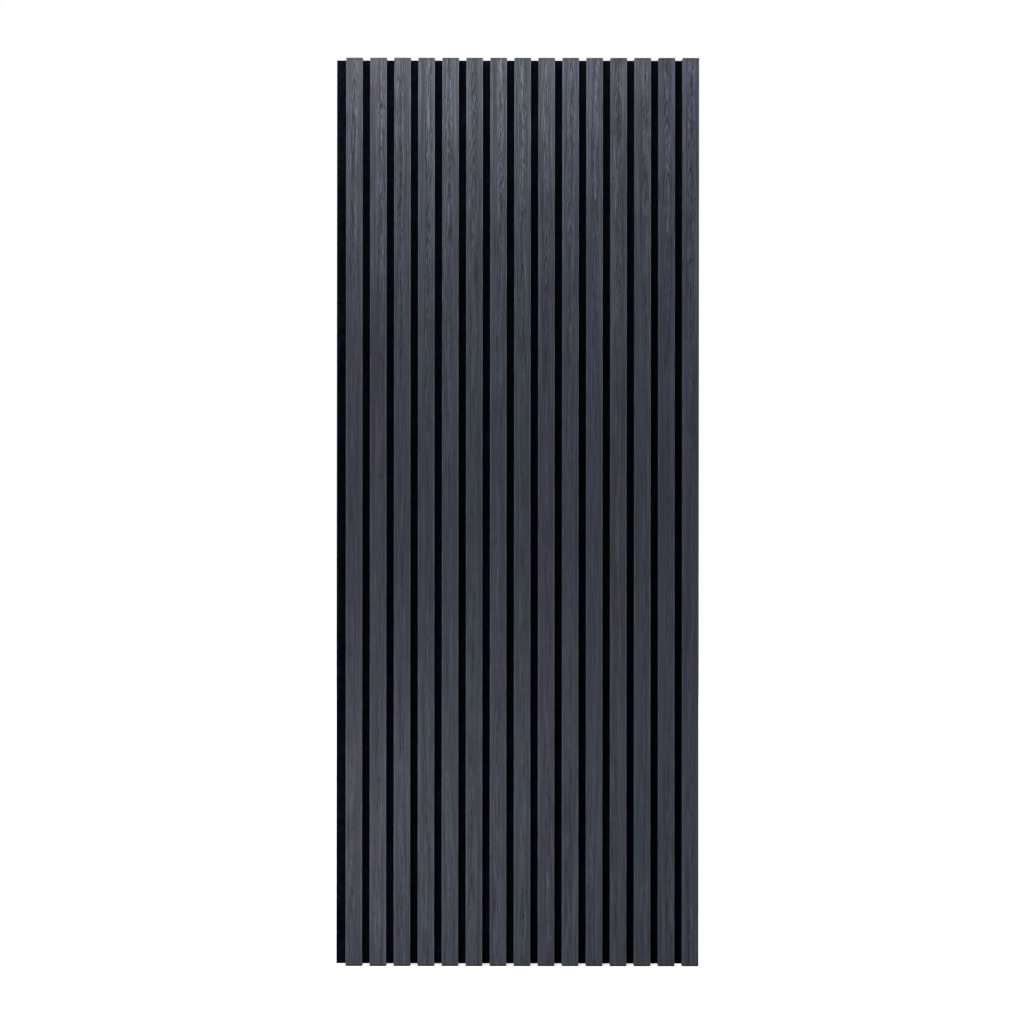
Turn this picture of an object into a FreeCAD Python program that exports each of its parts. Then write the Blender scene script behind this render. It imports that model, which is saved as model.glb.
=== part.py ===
import FreeCAD, Part
import os

# Acoustic slat wall panel: oak-veneered slats stapled from behind onto a board of
# pressed felt. Sizes are in millimetres. X runs across the panel, Z runs up along the
# slats, and the slats face -Y. The origin is the centre of the felt's back face, which
# lies on the wall.

# The slats
SLAT_COUNT = 15
SLAT_WIDTH = 28.0
SLAT_THICKNESS = 12.0
SLAT_GAP = 12.0
SLAT_ARRIS = 1.0  # radius of the veneer where it wraps round the long front edges

# The felt board
PANEL_HEIGHT = 1513.0
FELT_THICKNESS = 9.0
FELT_MARGIN = 17.0  # bare felt left of the first slat; the last slat ends flush

# The staples
STAPLE_ROWS = 6
STAPLE_END_DISTANCE = 40.0  # from the panel's ends to the nearest row
STAPLE_CROWN = 12.8  # outside width of the crown
STAPLE_POINT = 1.0  # length of the slanted cut at each leg's tip
WIRE_WIDTH = 0.95
WIRE_THICKNESS = 0.65
CROWN_SINK = 0.3  # how far the crown is pulled in below the felt's back
TIP_COVER = 5.0  # slat left in front of the staple's tips

# Places that follow from the sizes above
PITCH = SLAT_WIDTH + SLAT_GAP
FELT_WIDTH = FELT_MARGIN + SLAT_COUNT * PITCH - SLAT_GAP
FIRST_SLAT_LEFT = -FELT_WIDTH / 2 + FELT_MARGIN
PANEL_BOTTOM = -PANEL_HEIGHT / 2
FELT_FRONT = -FELT_THICKNESS
SLAT_FRONT = FELT_FRONT - SLAT_THICKNESS
CROWN_BACK = -CROWN_SINK
STAPLE_TIP = SLAT_FRONT + TIP_COVER
FIRST_ROW = PANEL_BOTTOM + STAPLE_END_DISTANCE
ROW_SPACING = (PANEL_HEIGHT - 2 * STAPLE_END_DISTANCE) / (STAPLE_ROWS - 1)

HALF_ROOT = 0.5**0.5
CUT_OVERRUN = 1.0  # how far a cut runs past the face that it opens


def vector(x, y, z):
    return FreeCAD.Vector(x, y, z)


def prism(edges, height):
    """The solid that a closed outline in a level plane sweeps upwards."""
    outline = Part.Face(Part.Wire(edges))
    return outline.extrude(vector(0, 0, height))


def lines(points, z):
    """Straight edges through points (x, y) at one level."""
    corners = [vector(x, y, z) for x, y in points]
    return [Part.makeLine(a, b) for a, b in zip(corners, corners[1:])]


def slat_outline(left, right):
    """The slat's section: square on the felt, rounded at both front arrises."""
    z = PANEL_BOTTOM
    side_end = SLAT_FRONT + SLAT_ARRIS
    centre_left = left + SLAT_ARRIS
    centre_right = right - SLAT_ARRIS
    reach = SLAT_ARRIS * HALF_ROOT
    right_arris = Part.Arc(
        vector(right, side_end, z),
        vector(centre_right + reach, side_end - reach, z),
        vector(centre_right, SLAT_FRONT, z),
    )
    left_arris = Part.Arc(
        vector(centre_left, SLAT_FRONT, z),
        vector(centre_left - reach, side_end - reach, z),
        vector(left, side_end, z),
    )
    back = [(left, side_end), (left, FELT_FRONT), (right, FELT_FRONT), (right, side_end)]
    front = [(centre_right, SLAT_FRONT), (centre_left, SLAT_FRONT)]
    return lines(back, z) + [right_arris.toShape()] + lines(front, z) + [left_arris.toShape()]


def slat(left, staples):
    """One veneered bar, sawn square at both ends, with a hole for each staple leg."""
    bar = prism(slat_outline(left, left + SLAT_WIDTH), PANEL_HEIGHT)
    return bar.cut(staples)


def staple(middle, height):
    """A U of flat wire: its crown in the felt's back, its legs through into a slat."""
    outer = STAPLE_CROWN / 2
    inner = outer - WIRE_THICKNESS
    crown_front = CROWN_BACK - WIRE_THICKNESS
    right_half = [
        (outer, CROWN_BACK),
        (outer, STAPLE_TIP),
        (inner, STAPLE_TIP + STAPLE_POINT),
        (inner, crown_front),
    ]
    left_half = [(-x, y) for x, y in reversed(right_half)]
    points = right_half + left_half + right_half[:1]
    outline = lines([(middle + x, y) for x, y in points], height - WIRE_WIDTH / 2)
    return prism(outline, WIRE_WIDTH)


def crown_groove(middle, height):
    """The dent that a staple's crown leaves in the felt's back."""
    corner = vector(middle - STAPLE_CROWN / 2, CROWN_BACK, height - WIRE_WIDTH / 2)
    return Part.makeBox(STAPLE_CROWN, CROWN_SINK + CUT_OVERRUN, WIRE_WIDTH, corner)


def felt(cuts):
    """The pressed board, as tall as the slats, with its staple holes and dents."""
    corner = vector(-FELT_WIDTH / 2, FELT_FRONT, PANEL_BOTTOM)
    board = Part.makeBox(FELT_WIDTH, FELT_THICKNESS, PANEL_HEIGHT, corner)
    return board.cut(cuts)


def save(name, shape):
    shape.exportStep("parts/" + name + ".step")


os.makedirs("parts", exist_ok=True)
row_heights = [FIRST_ROW + row * ROW_SPACING for row in range(STAPLE_ROWS)]
felt_cuts = []
for index in range(SLAT_COUNT):
    slat_left = FIRST_SLAT_LEFT + index * PITCH
    slat_middle = slat_left + SLAT_WIDTH / 2
    slat_staples = [staple(slat_middle, height) for height in row_heights]
    felt_cuts += slat_staples
    felt_cuts += [crown_groove(slat_middle, height) for height in row_heights]
    number = "%02d" % (index + 1)
    save("slat_" + number, slat(slat_left, slat_staples))
    save("staples_" + number, Part.makeCompound(slat_staples))
save("felt_backing", felt(felt_cuts))
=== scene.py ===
import math

import bpy
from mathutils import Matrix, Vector


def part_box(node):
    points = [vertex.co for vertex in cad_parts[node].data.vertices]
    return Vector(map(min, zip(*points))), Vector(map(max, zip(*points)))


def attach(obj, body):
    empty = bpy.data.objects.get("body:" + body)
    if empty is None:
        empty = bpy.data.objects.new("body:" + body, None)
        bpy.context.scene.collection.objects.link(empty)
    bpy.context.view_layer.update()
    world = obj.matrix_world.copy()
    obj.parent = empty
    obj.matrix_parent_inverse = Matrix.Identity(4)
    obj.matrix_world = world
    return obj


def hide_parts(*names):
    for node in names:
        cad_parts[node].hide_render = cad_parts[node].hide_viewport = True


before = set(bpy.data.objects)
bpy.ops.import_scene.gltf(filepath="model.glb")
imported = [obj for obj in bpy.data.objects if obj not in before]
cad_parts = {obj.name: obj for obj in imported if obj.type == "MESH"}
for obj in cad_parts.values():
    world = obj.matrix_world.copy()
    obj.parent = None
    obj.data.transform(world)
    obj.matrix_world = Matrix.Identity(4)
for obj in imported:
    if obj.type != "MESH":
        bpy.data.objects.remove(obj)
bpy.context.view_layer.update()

# Lengths are in metres. X runs across the panel, Z up along the slats, and the slats face -Y.
MM = 0.001
MILLIMETRES = 1000  # in a metre: the materials work in millimetres
BODY = "root"

# The panel's sizes, read from the frame
slat_names = sorted(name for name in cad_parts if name.startswith("slat_"))
staple_names = sorted(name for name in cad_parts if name.startswith("staples_"))
felt_low, felt_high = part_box("felt_backing")
first_low, first_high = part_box(slat_names[0])
second_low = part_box(slat_names[1])[0]
SLAT_WIDTH = first_high[0] - first_low[0]
PITCH = second_low[0] - first_low[0]
FIRST_MIDDLE = (first_low[0] + first_high[0]) / 2
SLAT_FRONT = first_low[1]
FELT_FRONT = felt_low[1]
FELT_BACK = felt_high[1]
PANEL_BOTTOM = felt_low[2]
PANEL_TOP = felt_high[2]
PANEL_HEIGHT = PANEL_TOP - PANEL_BOTTOM

# Sizes of the finish that the frame doesn't hold
ARRIS_RADIUS = 1.0 * MM  # the veneer's turn at the long front edges
END_BEVEL = 1.3 * MM  # the sanded slope from a sawn end to the face
END_BEVEL_DEPTH = 0.9 * MM
END_EASE = 0.6 * MM  # how much narrower a slat is at its sawn ends
VENEER = 0.6 * MM
WIRE_ROUNDING = 0.16 * MM
FIBRE_SIZE = (0.28 * MM, 0.28 * MM, 2.6 * MM)


class Shader:
    """Builds one material's node tree. Sockets and plain numbers can stand for each other."""

    def __init__(self, name):
        self.material = bpy.data.materials.new(name)
        self.material.use_nodes = True
        self.tree = self.material.node_tree
        self.tree.nodes.clear()

    def node(self, kind, inputs=(), **settings):
        made = self.tree.nodes.new(kind)
        for key, value in settings.items():
            setattr(made, key, value)
        for key, value in dict(inputs).items():
            self.put(made.inputs[key], value)
        return made

    def put(self, socket, value):
        if isinstance(value, bpy.types.NodeSocket):
            self.tree.links.new(value, socket)
        else:
            socket.default_value = value

    def math(self, operation, *values):
        made = self.node("ShaderNodeMath", operation=operation)
        for socket, value in zip(made.inputs, values):
            self.put(socket, value)
        return made.outputs[0]

    def add(self, *values):
        total = values[0]
        for value in values[1:]:
            total = self.math("ADD", total, value)
        return total

    def times(self, *values):
        total = values[0]
        for value in values[1:]:
            total = self.math("MULTIPLY", total, value)
        return total

    def minus(self, a, b):
        return self.math("SUBTRACT", a, b)

    def band(self, value, start, end, low=0.0, high=1.0):
        """Smoothly from low at start to high at end."""
        inputs = {"Value": value, "From Min": start, "From Max": end, "To Min": low, "To Max": high}
        return self.node("ShaderNodeMapRange", inputs, interpolation_type="SMOOTHSTEP").outputs[0]

    def point(self, x, y, z):
        return self.node("ShaderNodeCombineXYZ", {"X": x, "Y": y, "Z": z}).outputs[0]

    def parts(self, vector):
        return self.node("ShaderNodeSeparateXYZ", {"Vector": vector}).outputs

    def noise(self, place, scale, detail=2.0, roughness=0.5, distortion=0.0, colour=False):
        inputs = {"Vector": place, "Scale": scale, "Detail": detail}
        inputs |= {"Roughness": roughness, "Distortion": distortion}
        made = self.node("ShaderNodeTexNoise", inputs)
        return made.outputs["Color" if colour else "Fac"]

    def random(self, number):
        """Three random numbers from 0 to 1, always the same for the same number."""
        made = self.node("ShaderNodeTexWhiteNoise", {"W": number}, noise_dimensions="1D")
        return self.node("ShaderNodeSeparateColor", {"Color": made.outputs["Color"]}).outputs

    def ramp(self, value, stops):
        made = self.node("ShaderNodeValToRGB", {"Fac": value})
        elements = made.color_ramp.elements
        while len(elements) < len(stops):
            elements.new(0.5)
        for element, (place, colour) in zip(elements, stops):
            element.position = place
            element.color = (*colour, 1.0)
        return made.outputs["Color"]

    def blend(self, factor, a, b, mode="MIX"):
        made = self.node("ShaderNodeMix", data_type="RGBA", blend_type=mode)
        self.put(made.inputs[0], factor)
        for socket, value in ((made.inputs[6], a), (made.inputs[7], b)):
            self.put(socket, value if isinstance(value, bpy.types.NodeSocket) else (*value, 1.0))
        return made.outputs[2]

    def finish(self, inputs, height=None, depth=None):
        """The surface, with a bump of that depth in metres where a height is given."""
        shader = self.node("ShaderNodeBsdfPrincipled", inputs)
        if height is not None:
            bump = self.node("ShaderNodeBump", {"Height": height, "Distance": depth})
            self.put(shader.inputs["Normal"], bump.outputs[0])
        output = self.node("ShaderNodeOutputMaterial")
        self.put(output.inputs["Surface"], shader.outputs[0])
        return self.material


def stained_oak():
    """Black-stained oak veneer in front, black-painted fibre board on the sides and ends, with a
    painted highlight on the arrises, painted sheen in the grain's contrast and painted shade on the
    foot's bevel.
    """
    s = Shader("black_stained_oak")
    coordinates = s.node("ShaderNodeTexCoord")
    x, y, z = [s.times(part, MILLIMETRES) for part in s.parts(coordinates.outputs["Object"])]
    normal = s.parts(coordinates.outputs["Normal"])

    # Each slat is cut from its own stretch of veneer.
    first = FIRST_MIDDLE * MILLIMETRES
    pitch = PITCH * MILLIMETRES
    index = s.math("ROUND", s.math("DIVIDE", s.minus(x, first), pitch))
    across = s.minus(s.minus(x, first), s.times(index, pitch))
    stretch_pick, lane_pick, lean_pick = s.random(s.add(index, 417.7))
    centre_pick, spacing_pick = s.random(s.add(index, 331.3))[:2]
    along = s.add(z, s.times(stretch_pick, 9000))
    lane = s.times(lane_pick, 700)

    def along_noise(height, length, detail):
        return s.noise(s.point(lane, height, s.math("DIVIDE", along, length)), 1.0, detail)

    # The grain wanders a little to the sides as it goes up.
    wander = s.times(s.minus(along_noise(0.0, 230, 2.0), 0.5), 8)
    lean = s.times(s.minus(lean_pick, 0.5), 0.010, z)
    grain_x = s.add(across, wander, lean)

    def drawn_out(width, length, detail, shift):
        """Noise from 0 to 1 in strands of that width and length."""
        spot = s.point(
            s.add(s.math("DIVIDE", grain_x, width), lane, shift),
            s.math("DIVIDE", y, width),
            s.math("DIVIDE", along, length),
        )
        return s.noise(spot, 1.0, detail, 0.55)

    # Growth rings: arches nested up the slat's middle, running out into lines at its sides
    centre = s.times(s.minus(centre_pick, 0.5), 9)
    off = s.minus(grain_x, centre)
    reach = s.math("SQRT", s.add(s.times(off, off), 7.0))
    spacing = s.band(spacing_pick, 0.0, 1.0, 2.2, 3.4)
    climb = s.add(s.math("DIVIDE", along, 48), s.times(along_noise(4.0, 260, 1.0), 11))
    warp = s.add(
        s.times(drawn_out(9.0, 70.0, 2.0, 37.0), 1.5),
        s.times(drawn_out(3.6, 22.0, 2.0, 53.0), 1.1),
    )
    ring = s.add(s.math("DIVIDE", reach, spacing), climb, warp)
    wave = s.math("SINE", s.times(ring, 2 * math.pi))
    early_wood = s.band(wave, 0.1, 0.9)
    figure = s.band(s.math("ABSOLUTE", off), 8.5, 4.5)

    # Streaks of several widths, and short pale flecks
    broad = s.minus(drawn_out(5.5, 300.0, 2.0, 5.3), 0.5)
    lines = s.minus(drawn_out(1.5, 420.0, 1.0, 17.0), 0.5)
    middle = s.minus(drawn_out(2.7, 58.0, 2.0, 11.0), 0.5)
    fine = s.minus(drawn_out(0.9, 17.0, 2.0, 23.0), 0.5)
    pale = s.band(drawn_out(1.6, 15.0, 1.0, 71.0), 0.62, 0.76)

    # Open pores: short dark hairs, in clusters where the early wood is cut through
    hairs = drawn_out(0.34, 6.5, 1.0, 41.0)
    rarity = s.times(early_wood, figure, -0.08)
    pores = s.band(hairs, s.add(0.64, rarity), s.add(0.74, rarity))
    rarity = s.times(early_wood, figure, -0.15)
    cluster = s.band(drawn_out(1.45, 8.5, 1.0, 57.0), s.add(0.69, rarity), s.add(0.87, rarity))
    dashes = s.times(cluster, s.band(hairs, 0.36, 0.56, 0.42, 1.2))

    # Painted sheen: the grain's contrast is raised towards the top, and less towards the foot,
    # where the lamps' sheen shows the grain; it is least in the middle.
    upper_sheen = s.band(z, 80, 700)
    lower_sheen = s.band(z, -300, -720)
    coarse = s.add(
        s.times(broad, 0.52),
        s.times(lines, s.add(0.42, s.times(figure, -0.27))),
        s.times(middle, s.add(0.30, s.times(figure, 0.42))),
    )
    sharp = s.add(
        s.times(fine, s.add(0.22, s.times(figure, 0.32))),
        s.times(wave, figure, -0.078),
        s.times(pale, s.add(0.04, s.times(figure, 0.26))),
        s.times(pores, -0.18),
        s.times(dashes, -0.40),
    )
    tone = s.add(
        0.5,
        s.times(coarse, s.add(0.80, s.times(upper_sheen, 0.65), s.times(lower_sheen, 0.35))),
        s.times(sharp, s.add(0.30, s.times(upper_sheen, 1.10), s.times(lower_sheen, 0.26))),
    )
    oak = s.ramp(
        tone,
        [
            (0.0, (0.0050, 0.0058, 0.0086)),
            (0.3, (0.0185, 0.0208, 0.0290)),
            (0.5, (0.0385, 0.0428, 0.0582)),
            (0.7, (0.0670, 0.0735, 0.0960)),
            (1.0, (0.1350, 0.1440, 0.1740)),
        ],
    )

    # Each slat took the stain with its own tint, and it drifts along and across too.
    tint_picks = s.random(s.add(index, 75.9))
    own_tint = s.point(*[s.band(pick, 0.0, 1.0, 0.34, 0.66) for pick in tint_picks])
    tint_place = s.point(s.add(s.times(across, 0.035), lane), 0.0, s.times(along, 0.010))
    drift = s.noise(tint_place, 1.0, 2.0, 0.5, 0.0, colour=True)
    tinted = s.blend(0.14, oak, s.blend(1.0, oak, own_tint, "OVERLAY"))
    tinted = s.blend(0.15, tinted, s.blend(1.0, tinted, drift, "OVERLAY"))

    # Painted highlight: the stain is lightened along the arrises, where they catch the light.
    half = SLAT_WIDTH * MILLIMETRES / 2
    to_side = s.minus(half, s.math("ABSOLUTE", across))
    to_front = s.minus(y, SLAT_FRONT * MILLIMETRES)
    arris_highlight_spot = s.point(lane, s.math("SIGN", across), s.times(along, 0.022))
    arris_highlight = s.times(
        s.band(s.add(to_side, to_front), 2.7, 1.1),
        s.band(s.noise(arris_highlight_spot, 1.0, 4.0, 0.6), 0.36, 0.66, 0.12, 1.0),
    )
    # Painted highlight: the veneer is lightened along its arrises.
    veneer = s.blend(s.times(arris_highlight, 0.60), tinted, (0.118, 0.126, 0.150))

    # Black paint covers the sides. The bevel at the foot gets the same black as painted shade,
    # since it faces down out of the light; at the head the paint is sanded off the bevel and left
    # in a broken line below it.
    half_height = PANEL_HEIGHT * MILLIMETRES / 2
    to_head = s.minus(half_height, z)
    to_foot = s.add(half_height, z)
    ragged = s.times(s.minus(s.noise(s.point(x, y, z), 0.9, 3.0, 0.6), 0.5), 3.2)
    # Painted shade: the foot's bevel is darkened, as it faces down out of the light.
    foot = s.band(s.add(to_foot, ragged), 3.3, 2.3, 0.0, 0.95)
    from_line = s.minus(s.add(to_head, s.times(ragged, 0.5)), 2.9)
    line = s.band(s.math("ABSOLUTE", from_line), 1.3, 0.7)
    broken = s.band(s.noise(s.point(x, y, lane), 0.45, 2.0, 0.5), 0.42, 0.56, 0.15, 0.7)
    foot_shade_and_head_line = s.math("MAXIMUM", foot, s.times(line, broken))
    on_side = s.band(to_front, 0.12, 0.32)
    painted = s.math("MAXIMUM", foot_shade_and_head_line, on_side)
    board = s.noise(s.point(x, y, s.times(z, 0.6)), 1.6, 4.0, 0.65)
    # The side paint's colour, also used for the painted shade on the foot's bevel.
    paint_and_foot_shade = s.ramp(board, [(0.3, (0.0048, 0.0050, 0.0064)), (0.7, (0.0105, 0.0108, 0.0130))])
    face = s.blend(painted, veneer, paint_and_foot_shade)

    # Sawn ends: dyed fibre board behind a thin line of veneer
    core = s.ramp(board, [(0.3, (0.006, 0.0055, 0.0055)), (0.75, (0.030, 0.027, 0.026))])
    is_end = s.band(s.math("ABSOLUTE", normal[2]), 0.75, 0.9)
    glue_line = VENEER * MILLIMETRES
    is_core = s.times(is_end, s.band(to_front, glue_line - 0.1, glue_line + 0.1))
    colour = s.blend(is_core, face, core)

    roughness = s.add(
        0.46,
        s.times(middle, -0.30),
        s.times(pale, -0.06),
        s.times(pores, 0.2),
        s.times(dashes, 0.2),
        s.times(is_core, 0.4),
    )
    height = s.add(
        s.times(fine, 0.45),
        s.times(middle, 0.45),
        s.times(pale, 0.10),
        s.times(pores, -0.5),
        s.times(dashes, -0.5),
        s.times(wave, figure, -0.10),
        s.times(is_core, board, 0.8),
    )
    inputs = {"Base Color": colour, "Roughness": roughness, "Specular IOR Level": 0.2}
    return s.finish(inputs, height, 0.16 * MM)


def pressed_felt():
    """Black felt of short matted fibres, with paler ones among them."""
    s = Shader("pressed_felt")
    place = s.node("ShaderNodeTexCoord").outputs["Object"]

    def fibres(turn):
        inputs = {"Vector": place, "Rotation": turn, "Scale": FIBRE_SIZE}
        mapping = s.node("ShaderNodeMapping", inputs, vector_type="TEXTURE")
        return s.noise(mapping.outputs[0], 1.0, 2.0, 0.6, 0.8)

    turns = ((0.15, 0.35, 0.0), (-0.2, 1.45, 0.0), (0.1, 2.45, 0.0))
    layers = [fibres(turn) for turn in turns]
    strands = s.math("MAXIMUM", s.math("MAXIMUM", layers[0], layers[1]), layers[2])
    clumps = s.noise(place, 160.0, 4.0, 0.65)
    cloud = s.noise(place, 14.0, 3.0, 0.5)
    tone = s.add(
        s.band(strands, 0.50, 0.80, 0.0, 0.70),
        s.times(s.minus(clumps, 0.5), 0.85),
        s.times(s.minus(cloud, 0.5), 0.40),
        0.10,
    )
    colour = s.ramp(
        tone,
        [
            (0.0, (0.0007, 0.0009, 0.0032)),
            (0.35, (0.0033, 0.0036, 0.0076)),
            (0.75, (0.0165, 0.0168, 0.0220)),
            (1.0, (0.0520, 0.0525, 0.0600)),
        ],
    )
    inputs = {"Base Color": colour, "Roughness": 0.95, "Specular IOR Level": 0.0}
    height = s.add(s.times(strands, 0.7), s.times(clumps, 0.5))
    return s.finish(inputs, height, 0.35 * MM)


def galvanised_wire():
    """Flat steel wire with a dull zinc skin and light drawing marks."""
    s = Shader("galvanised_wire")
    place = s.node("ShaderNodeTexCoord").outputs["Object"]
    inputs = {"Vector": place, "Scale": (120.0, 120.0, 5200.0)}
    mapping = s.node("ShaderNodeMapping", inputs)
    marks = s.noise(mapping.outputs[0], 1.0, 3.0, 0.6)
    bloom = s.noise(place, 900.0, 3.0, 0.6)
    tone = s.add(s.times(marks, 0.55), s.times(bloom, 0.45))
    colour = s.ramp(tone, [(0.3, (0.11, 0.115, 0.125)), (0.7, (0.33, 0.34, 0.36))])
    roughness = s.add(0.34, s.times(bloom, 0.24))
    inputs = {"Base Color": colour, "Metallic": 1.0, "Roughness": roughness}
    return s.finish(inputs, marks, 0.02 * MM)


def mesh_piece(name, verts, faces, smooth, material, uvs=None):
    """A mesh object that rides on the panel. smooth holds a flag for each face."""
    mesh = bpy.data.meshes.new(name)
    mesh.from_pydata(verts, [], faces)
    mesh.polygons.foreach_set("use_smooth", smooth)
    if uvs is not None:
        layer = mesh.uv_layers.new(name="OFBake")
        layer.data.foreach_set("uv", [value for corner in uvs for value in corner])
    mesh.materials.append(material)
    piece = bpy.data.objects.new(name, mesh)
    bpy.context.scene.collection.objects.link(piece)
    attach(piece, BODY)
    return piece


# The slats

ARRIS_STEPS = 8
# From the full section to the end face: shares of the bevel's height, its depth and the ease
END_PROFILE = (
    (1.0, 0.0, 0.0),
    (0.86, 0.06, 0.02),
    (0.70, 0.18, 0.08),
    (0.30, 0.56, 0.35),
    (0.10, 0.80, 0.70),
    (0.0, 1.0, 1.0),
)
MAP_STRETCHES = 5  # the bake map lays a slat's length side by side in this many stretches
MAP_GAP = 1.5 * MM
MAP_BACK_SCALE = 0.19  # the hidden back is laid smaller
MAP_BACK_WIDTH = 7 * MM  # room for the back
MAP_END_WIDTH = 30 * MM  # room for an end face
MAP_END_DEPTH = 12 * MM  # from one end face's place to the other's


def slat_section(left, right, depth, inset):
    """Points round a slat's section, from the felt up one side and down the other."""
    radius = ARRIS_RADIUS - inset
    front = SLAT_FRONT + depth
    points = [(left + inset, FELT_FRONT)]
    for step in range(ARRIS_STEPS + 1):
        angle = math.pi / 2 * step / ARRIS_STEPS
        x = left + inset + radius - radius * math.cos(angle)
        points.append((x, front + radius - radius * math.sin(angle)))
    mirrored = [(left + right - x, y) for x, y in reversed(points)]
    return points + mirrored


def slat_piece(name, material):
    """A slat with rounded arrises, bevelled ends and a bake map in stretches."""
    low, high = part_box(name)
    left, right = low[0], high[0]
    eases = [(END_BEVEL * h, END_BEVEL_DEPTH * d, END_EASE * e) for h, d, e in END_PROFILE]
    stretch = PANEL_HEIGHT / MAP_STRETCHES
    inner = [PANEL_BOTTOM + stretch * k for k in range(1, MAP_STRETCHES)]
    levels = [(PANEL_BOTTOM + rise, depth, inset) for rise, depth, inset in reversed(eases)]
    levels += [(z, 0.0, 0.0) for z in inner]
    levels += [(PANEL_TOP - rise, depth, inset) for rise, depth, inset in eases]

    verts = []
    for z, depth, inset in levels:
        verts += [(x, y, z) for x, y in slat_section(left, right, depth, inset)]
    count = len(verts) // len(levels)

    # Distances round the section, for the map
    girth = [0.0]
    base = slat_section(left, right, 0.0, 0.0)
    for (ax, ay), (bx, by) in zip(base, base[1:]):
        girth.append(girth[-1] + math.hypot(bx - ax, by - ay))
    band = girth[-1] + MAP_GAP
    u_back = MAP_STRETCHES * band
    u_ends = u_back + MAP_BACK_WIDTH
    size = max(stretch + 2 * MAP_GAP, u_ends + MAP_END_WIDTH)

    faces, smooth, uvs = [], [], []
    for level in range(len(levels) - 1):
        z_low, z_high = levels[level][0], levels[level + 1][0]
        lane = min(int(((z_low + z_high) / 2 - PANEL_BOTTOM) / stretch), MAP_STRETCHES - 1)
        lane_bottom = PANEL_BOTTOM + stretch * lane
        rounded_end = levels[level][2] != levels[level + 1][2]
        for k in range(count - 1):
            a = level * count + k
            faces.append((a, a + 1, a + 1 + count, a + count))
            on_arris = 1 <= k <= ARRIS_STEPS or count - 2 - ARRIS_STEPS <= k <= count - 3
            smooth.append(on_arris or rounded_end)
            for g, z in ((k, z_low), (k + 1, z_low), (k + 1, z_high), (k, z_high)):
                u = (lane * band + girth[g]) / size
                uvs.append((u, (MAP_GAP + z - lane_bottom) / size))
        low_start, high_start = level * count, (level + 1) * count
        faces.append((high_start - 1, low_start, high_start, high_start + count - 1))
        smooth.append(False)
        for x, z in ((right, z_low), (left, z_low), (left, z_high), (right, z_high)):
            u = (u_back + (x - left) * MAP_BACK_SCALE) / size
            uvs.append((u, (MAP_GAP + (z - PANEL_BOTTOM) * MAP_BACK_SCALE) / size))
    last = (len(levels) - 1) * count
    foot_ring = list(range(count))[::-1]
    head_ring = list(range(last, last + count))
    for ring, v_end in ((foot_ring, MAP_GAP), (head_ring, 2 * MAP_GAP + MAP_END_DEPTH)):
        faces.append(tuple(ring))
        smooth.append(False)
        for corner in ring:
            x, y = verts[corner][:2]
            uvs.append(((u_ends + x - left) / size, (v_end + y - SLAT_FRONT) / size))
    piece = mesh_piece(name + "_veneered", verts, faces, smooth, material, uvs)
    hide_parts(name)


oak = stained_oak()
for slat_name in slat_names:
    slat_piece(slat_name, oak)


# The felt board: dented round each staple, and bulging a little between the slats

FELT_CORNER = 1.5 * MM
FELT_EASE = 0.6 * MM  # the soft edge between a face and the cut side
EASE_ANGLES = [math.radians(30 * step) for step in range(1, 4)]
FELT_BULGE = 0.3 * MM
BULGE_RISE = 3.0 * MM
DENT_DEPTH = 0.8 * MM
DENT_REACH = 3.5 * MM
WIRE_THICKNESS = 0.65 * MM
LEAST_ROW_SPACING = 10 * MM
TINY = 0.01 * MM
CORNER_SPACING = (0.0, 0.3, 0.65, 1.0)  # shares of a corner at which the mesh has a line
# Distances from a staple's middle at which the board's mesh has a line
COLUMN_OFFSETS = [v * MM for v in (0.0, 4.6, 6.4, 6.6, 7.5, 8.8, 10.6, 14.0, 15.2, 17.0, 20.0)]
ROW_OFFSETS = [v * MM for v in (0.0, 0.62, 1.3, 2.4, 3.8, 5.6, 8.0)]

slat_middles = [FIRST_MIDDLE + PITCH * k for k in range(len(slat_names))]
staple_low, staple_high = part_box(staple_names[0])
HALF_CROWN = (staple_high[0] - staple_low[0]) / 2
GROOVE_FLOOR = staple_high[1] - WIRE_THICKNESS


def staple_rows():
    """The lowest and highest points of each row of staples."""
    rows = []
    for z in sorted(v.co.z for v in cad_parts[staple_names[0]].data.vertices):
        if rows and z - rows[-1][1] < LEAST_ROW_SPACING:
            rows[-1][1] = z
        else:
            rows.append([z, z])
    return rows


row_spans = staple_rows()
row_middles = [(low + high) / 2 for low, high in row_spans]
HALF_WIRE = (row_spans[0][1] - row_spans[0][0]) / 2


def grid_lines(low, high, middles, offsets):
    """Lines across the board: close together at its edges and round each middle."""
    turn = FELT_CORNER - FELT_EASE
    edges = [FELT_EASE + turn * share for share in CORNER_SPACING]
    inner = [middle + side * offset for middle in middles for offset in offsets for side in (-1, 1)]
    inner = [v for v in inner if low + FELT_CORNER < v < high - FELT_CORNER]
    every = sorted([low + e for e in edges] + [high - e for e in edges] + inner)
    return [v for k, v in enumerate(every) if k == 0 or v - every[k - 1] > TINY]


def dent(x, z):
    """How far the back face is pulled in by the nearest staple."""
    off_x = min(abs(x - middle) for middle in slat_middles)
    off_z = min(abs(z - middle) for middle in row_middles)
    if off_x < HALF_CROWN + TINY and off_z < HALF_WIRE + TINY:
        return -GROOVE_FLOOR
    away = math.hypot(max(off_x - HALF_CROWN, 0.0), off_z)
    return DENT_DEPTH * math.exp(-((away / DENT_REACH) ** 2))


def bulge(x):
    """How far the front face swells beside the slats that press on it."""
    away = min(abs(x - middle) for middle in slat_middles) - SLAT_WIDTH / 2
    if away <= 0:
        return 0.0
    return FELT_BULGE * (1 - math.exp(-((away / BULGE_RISE) ** 2)))


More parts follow.
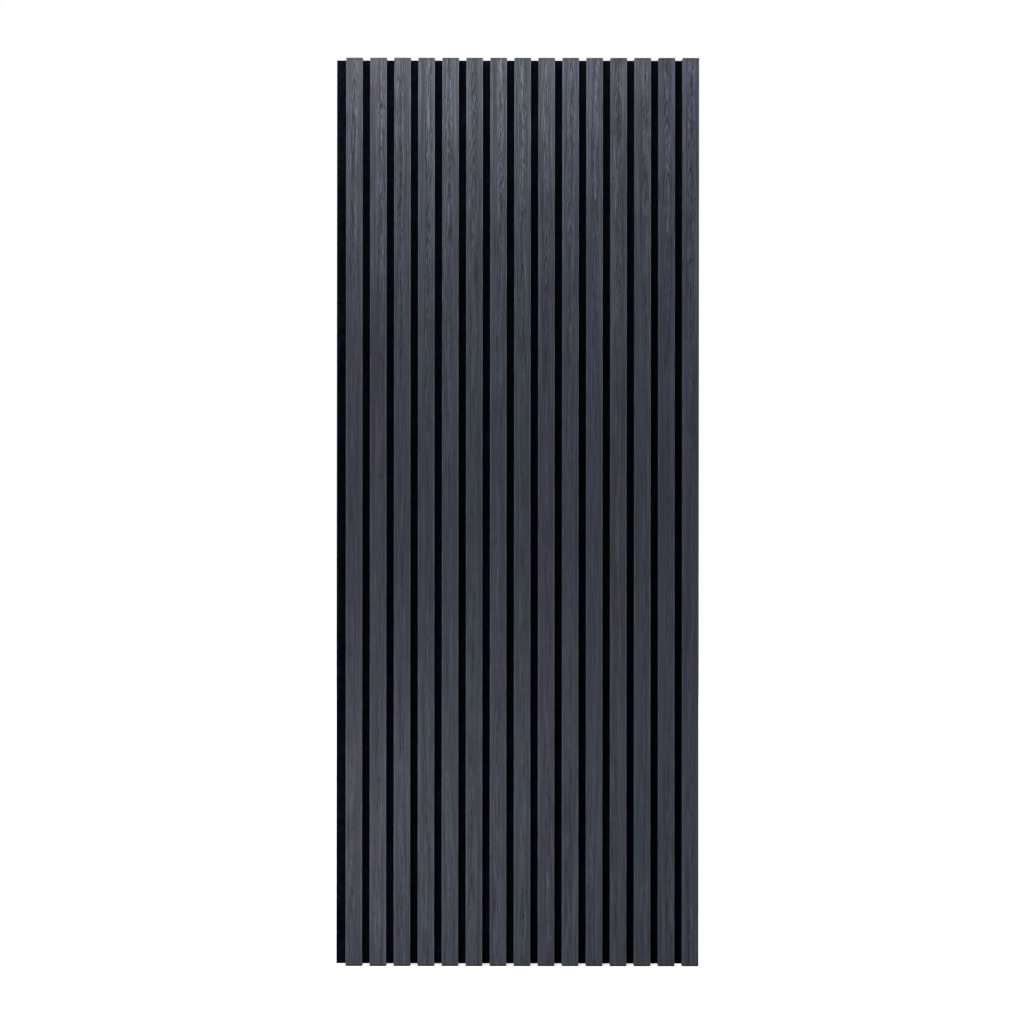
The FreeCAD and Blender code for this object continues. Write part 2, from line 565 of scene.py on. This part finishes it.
def round_corner(x, z):
    """The grid point moved onto the rounded corner that it is near, and its way outwards."""
    far_x = max(felt_low[0] + FELT_CORNER - x, x - felt_high[0] + FELT_CORNER, 0.0)
    far_z = max(PANEL_BOTTOM + FELT_CORNER - z, z - PANEL_TOP + FELT_CORNER, 0.0)
    side_x = math.copysign(1.0, x - (felt_low[0] + felt_high[0]) / 2)
    side_z = math.copysign(1.0, z - (PANEL_BOTTOM + PANEL_TOP) / 2)
    away = math.hypot(far_x, far_z)
    if away == 0:
        return x, z, 0.0, 0.0
    pull = max(far_x, far_z) / away
    x -= side_x * far_x * (1 - pull)
    z -= side_z * far_z * (1 - pull)
    return x, z, side_x * far_x / away, side_z * far_z / away


def felt_board(material):
    """The pressed board as one closed mesh."""
    across = grid_lines(felt_low[0], felt_high[0], slat_middles, COLUMN_OFFSETS)
    up = grid_lines(PANEL_BOTTOM, PANEL_TOP, row_middles, ROW_OFFSETS + [HALF_WIRE])
    columns, rows = len(across), len(up)
    verts, faces = [], []
    edge = [(i, 0) for i in range(columns - 1)]
    edge += [(columns - 1, j) for j in range(rows - 1)]
    edge += [(i, rows - 1) for i in range(columns - 1, 0, -1)]
    edge += [(0, j) for j in range(rows - 1, 0, -1)]

    def face_grid(height, flipped):
        """One broad face of the board. Gives its points along the board's edge."""
        start = len(verts)
        for z_line in up:
            for x_line in across:
                x, z = round_corner(x_line, z_line)[:2]
                verts.append((x, height(x_line, z_line), z))
        for j in range(rows - 1):
            for i in range(columns - 1):
                a = start + j * columns + i
                quad = (a, a + 1, a + 1 + columns, a + columns)
                faces.append(quad[::-1] if flipped else quad)
        return [start + j * columns + i for i, j in edge]

    front = face_grid(lambda x, z: FELT_FRONT - bulge(x), False)
    back = face_grid(lambda x, z: FELT_BACK - dent(x, z), True)

    def eased_ring(loop, angle, inwards):
        """The points of a face's edge, turned outwards and in by that angle of the ease."""
        ring = []
        for (i, j), corner in zip(edge, loop):
            out_x, out_z = round_corner(across[i], up[j])[2:]
            x, y, z = verts[corner]
            reach = FELT_EASE * math.sin(angle)
            y += inwards * FELT_EASE * (1 - math.cos(angle))
            ring.append(len(verts))
            verts.append((x + out_x * reach, y, z + out_z * reach))
        return ring

    rings = [front] + [eased_ring(front, angle, 1) for angle in EASE_ANGLES]
    rings += [eased_ring(back, angle, -1) for angle in reversed(EASE_ANGLES)] + [back]
    for ring, after in zip(rings, rings[1:]):
        for k in range(len(edge)):
            n = (k + 1) % len(edge)
            faces.append((ring[n], ring[k], after[k], after[n]))
    piece = mesh_piece("felt_board", verts, faces, [True] * len(faces), material)
    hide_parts("felt_backing")


felt_board(pressed_felt())

# The staples, with their wire's edges rounded off
wire = galvanised_wire()
for staple_name in staple_names:
    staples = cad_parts[staple_name]
    for material_slot in staples.material_slots:
        material_slot.material = wire
    rounding = staples.modifiers.new("rounding", "BEVEL")
    rounding.width = WIRE_ROUNDING
    rounding.segments = 2


# Floor and light


def light_path_level(tree, shaded, shown):
    """Shown to the eye and in reflections, shaded for the light it casts."""
    path = tree.nodes.new("ShaderNodeLightPath")
    seen = tree.nodes.new("ShaderNodeMath")
    seen.operation = "MAXIMUM"
    tree.links.new(path.outputs["Is Camera Ray"], seen.inputs[0])
    tree.links.new(path.outputs["Is Glossy Ray"], seen.inputs[1])
    also = tree.nodes.new("ShaderNodeMath")
    also.operation = "MAXIMUM"
    tree.links.new(seen.outputs[0], also.inputs[0])
    tree.links.new(path.outputs["Is Transmission Ray"], also.inputs[1])
    level = tree.nodes.new("ShaderNodeMapRange")
    tree.links.new(also.outputs[0], level.inputs["Value"])
    level.inputs["To Min"].default_value = shaded
    level.inputs["To Max"].default_value = shown
    return level.outputs[0]


AMBIENT = 0.20  # the light that the white world casts

world = bpy.data.worlds.new("studio")
bpy.context.scene.world = world
world.use_nodes = True
background = world.node_tree.nodes["Background"]
background.inputs["Color"].default_value = (1.0, 1.0, 1.0, 1.0)
world.node_tree.links.new(
    light_path_level(world.node_tree, AMBIENT, 1.0), background.inputs["Strength"]
)

FLOOR_RADIUS = 12.0
FLOOR_GLOW = 0.84  # what the eye sees of the floor besides the light that falls on it
SHADOW_REACH = 0.42  # how far behind the panel the floor glows less
SHADOW_DEPTH = 0.36  # the share of the glow that is taken away at the panel's back
SHADOW_CORE = 0.6  # the share of the panel's width that has all of that


def floor_material():
    """White to the eye. It glows less close behind the panel, so that the shadow shows there."""
    s = Shader("white_floor")
    x, y = s.parts(s.node("ShaderNodeTexCoord").outputs["Object"])[:2]
    behind = s.times(s.band(y, SLAT_FRONT, SLAT_FRONT / 2), s.band(y, SHADOW_REACH, 0.0))
    half = (felt_high[0] - felt_low[0]) / 2
    shade = s.times(behind, s.band(s.math("ABSOLUTE", x), half, half * SHADOW_CORE))
    glow = s.minus(1.0, s.times(shade, SHADOW_DEPTH))
    inputs = {"Base Color": (0.8, 0.8, 0.8, 1.0), "Roughness": 0.9, "Specular IOR Level": 0.1}
    inputs["Emission Color"] = (1.0, 1.0, 1.0, 1.0)
    inputs["Emission Strength"] = s.times(light_path_level(s.tree, 0.0, FLOOR_GLOW), glow)
    return s.finish(inputs)


bpy.ops.mesh.primitive_circle_add(
    vertices=96, radius=FLOOR_RADIUS, fill_type="NGON", location=(0, 0, PANEL_BOTTOM)
)
floor = bpy.context.object
floor.name = "floor"
floor.data.materials.append(floor_material())


def soft_lamp(name, place, aim, width, height, watts):
    """A rectangular lamp that is turned to face a point. The camera doesn't see it."""
    data = bpy.data.lights.new(name, "AREA")
    data.shape = "RECTANGLE"
    data.size = width
    data.size_y = height
    data.energy = watts
    lamp = bpy.data.objects.new(name, data)
    lamp.location = place
    direction = Vector(aim) - Vector(place)
    lamp.rotation_euler = direction.to_track_quat("-Z", "Y").to_euler()
    lamp.visible_camera = False
    bpy.context.scene.collection.objects.link(lamp)


soft_lamp("key", (-0.5, -0.6, 1.5), (-0.1, 0.0, 0.6), 0.9, 0.4, 11.9)
soft_lamp("strip", (-0.1, -0.45, 1.15), (-0.1, 0.0, 0.6), 0.9, 0.25, 5.8)
soft_lamp("side", (-1.6, -1.0, 0.8), (0.0, 0.0, 0.3), 0.8, 0.8, 4.2)
soft_lamp("foot", (-0.5, -0.5, -0.62), (-0.2, 0.0, -0.65), 0.8, 0.15, 1.45)
soft_lamp("low", (-0.25, -0.8, -0.5), (-0.15, 0.0, -0.6), 0.8, 0.3, 0.95)
soft_lamp("back", (0.9, 2.4, 0.9), (0.0, 0.0, 0.0), 1.6, 1.6, 48.0)

# The camera: level, in front of the panel's middle
CAMERA_DISTANCE = 1.80  # to the slats' faces
PICTURE_WIDTH = 1.7046  # that the picture spans at the slats' faces
CAMERA_X = -8.7 * MM
CAMERA_ROLL = math.radians(-0.05)
SENSOR = 36.0

camera_data = bpy.data.cameras.new("camera")
camera_data.sensor_width = SENSOR
camera_data.lens = SENSOR * CAMERA_DISTANCE / PICTURE_WIDTH
camera = bpy.data.objects.new("camera", camera_data)
camera.location = (CAMERA_X, SLAT_FRONT - CAMERA_DISTANCE, 0.0)
camera.rotation_euler = (math.pi / 2, CAMERA_ROLL, 0.0)
bpy.context.scene.collection.objects.link(camera)
bpy.context.scene.camera = camera
bpy.context.scene.view_settings.view_transform = "Standard"
